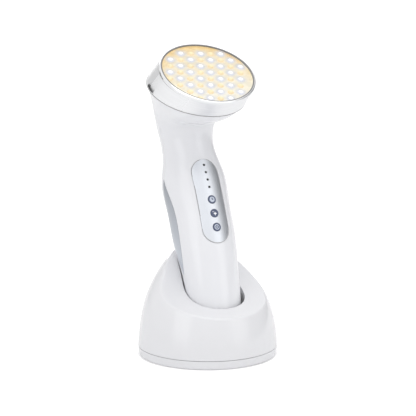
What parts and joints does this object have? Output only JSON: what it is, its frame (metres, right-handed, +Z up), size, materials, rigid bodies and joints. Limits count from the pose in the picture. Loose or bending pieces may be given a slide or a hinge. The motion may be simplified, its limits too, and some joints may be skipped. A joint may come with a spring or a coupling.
{
  "type": "light therapy wand",
  "caption": "Handheld skin light therapy wand with a tilted round light head in a bright metal band, a button panel and side grips, leaning in a bell-shaped charging cradle.",
  "frame": {"origin": "centre of the cradle's underside, on the surface that it stands on", "axes": "+Z up, the front of the wand faces -Y, the mirror plane is X = 0"},
  "size_m": [0.0868, 0.0961, 0.1915],
  "materials": {
    "white_gloss": "moulded gloss white",
    "socket_white": "moulded satin white",
    "chrome": "polished plating",
    "clear_lens": "clear, polished",
    "amber_reflector": "warm cream, glossy",
    "white_light": "diffusing cap",
    "amber_light": "tinted cap",
    "silver_panel": "satin",
    "silver_grip": "satin metallic",
    "button_grey": "satin with pale icon",
    "light_pipe": "smoked",
    "indicator_chip": "diffuse",
    "board_green": "solder mask",
    "board_white": "white solder mask",
    "switch_black": "moulded",
    "spreader_metal": "plain sheet",
    "screw_steel": "plated",
    "contact_gold": "gold flash",
    "cell_wrap": "shrink wrap over a metal can",
    "lead_red": "insulated lead",
    "cable_black": "insulated cable",
    "pad_rubber": "fine matte"
  },
  "bodies": {
    "cradle": {"cradle_shell": "white_gloss", "cradle_base": "white_gloss", "anti_slip_pad": "pad_rubber", "base_screws": "screw_steel", "power_inlet": "switch_black", "inlet_pin": "contact_gold", "inlet_leads": "lead_red", "charge_socket": "socket_white", "cradle_board": "board_green", "cradle_board_screws": "screw_steel", "pin_barrels": "contact_gold"},
    "handset": {"amber_lights": "amber_light", "battery_cell": "cell_wrap", "board_screws": "screw_steel", "button_switches": "switch_black", "cell_leads": "lead_red", "charge_contacts": "contact_gold", "charge_leads": "lead_red", "chin_cover": "white_gloss", "control_panel": "silver_panel", "end_cap": "white_gloss", "face_lens": "clear_lens", "front_shell": "white_gloss", "head_band": "chrome", "heat_spreader": "spreader_metal", "indicator_lights": "indicator_chip", "indicator_pipes": "light_pipe", "left_grip": "silver_grip", "light_board": "board_white", "light_cable": "cable_black", "light_tray": "amber_reflector", "main_board": "board_green", "rear_shell": "white_gloss", "right_grip": "silver_grip", "shell_screws": "screw_steel", "white_lights": "white_light"},
    "power_button": {"power_button": "button_grey"},
    "mode_button": {"mode_button": "button_grey"},
    "timer_button": {"timer_button": "button_grey"},
    "left_charge_pin": {"left_charge_pin": "contact_gold"},
    "right_charge_pin": {"right_charge_pin": "contact_gold"}
  },
  "joints": [
    {"name": "handset_lift", "type": "slide", "parent": "cradle", "child": "handset", "axis": [0, 0.4067, 0.9135], "range_m": [0, 0.1]},
    {"name": "power_press", "type": "slide", "parent": "handset", "child": "power_button", "axis": [0, 0.9135, -0.4067], "range_m": [0, 0.0004], "stiffness_N_per_m": 1500},
    {"name": "mode_press", "type": "slide", "parent": "handset", "child": "mode_button", "axis": [0, 0.9135, -0.4067], "range_m": [0, 0.0004], "stiffness_N_per_m": 1500},
    {"name": "timer_press", "type": "slide", "parent": "handset", "child": "timer_button", "axis": [0, 0.9135, -0.4067], "range_m": [0, 0.0004], "stiffness_N_per_m": 1500},
    {"name": "left_pin_travel", "type": "slide", "parent": "cradle", "child": "left_charge_pin", "axis": [0, 0.4067, 0.9135], "range_m": [-0.0008, 0], "stiffness_N_per_m": 400},
    {"name": "right_pin_travel", "type": "slide", "parent": "cradle", "child": "right_charge_pin", "axis": [0, 0.4067, 0.9135], "range_m": [-0.0008, 0], "stiffness_N_per_m": 400}
  ]
}
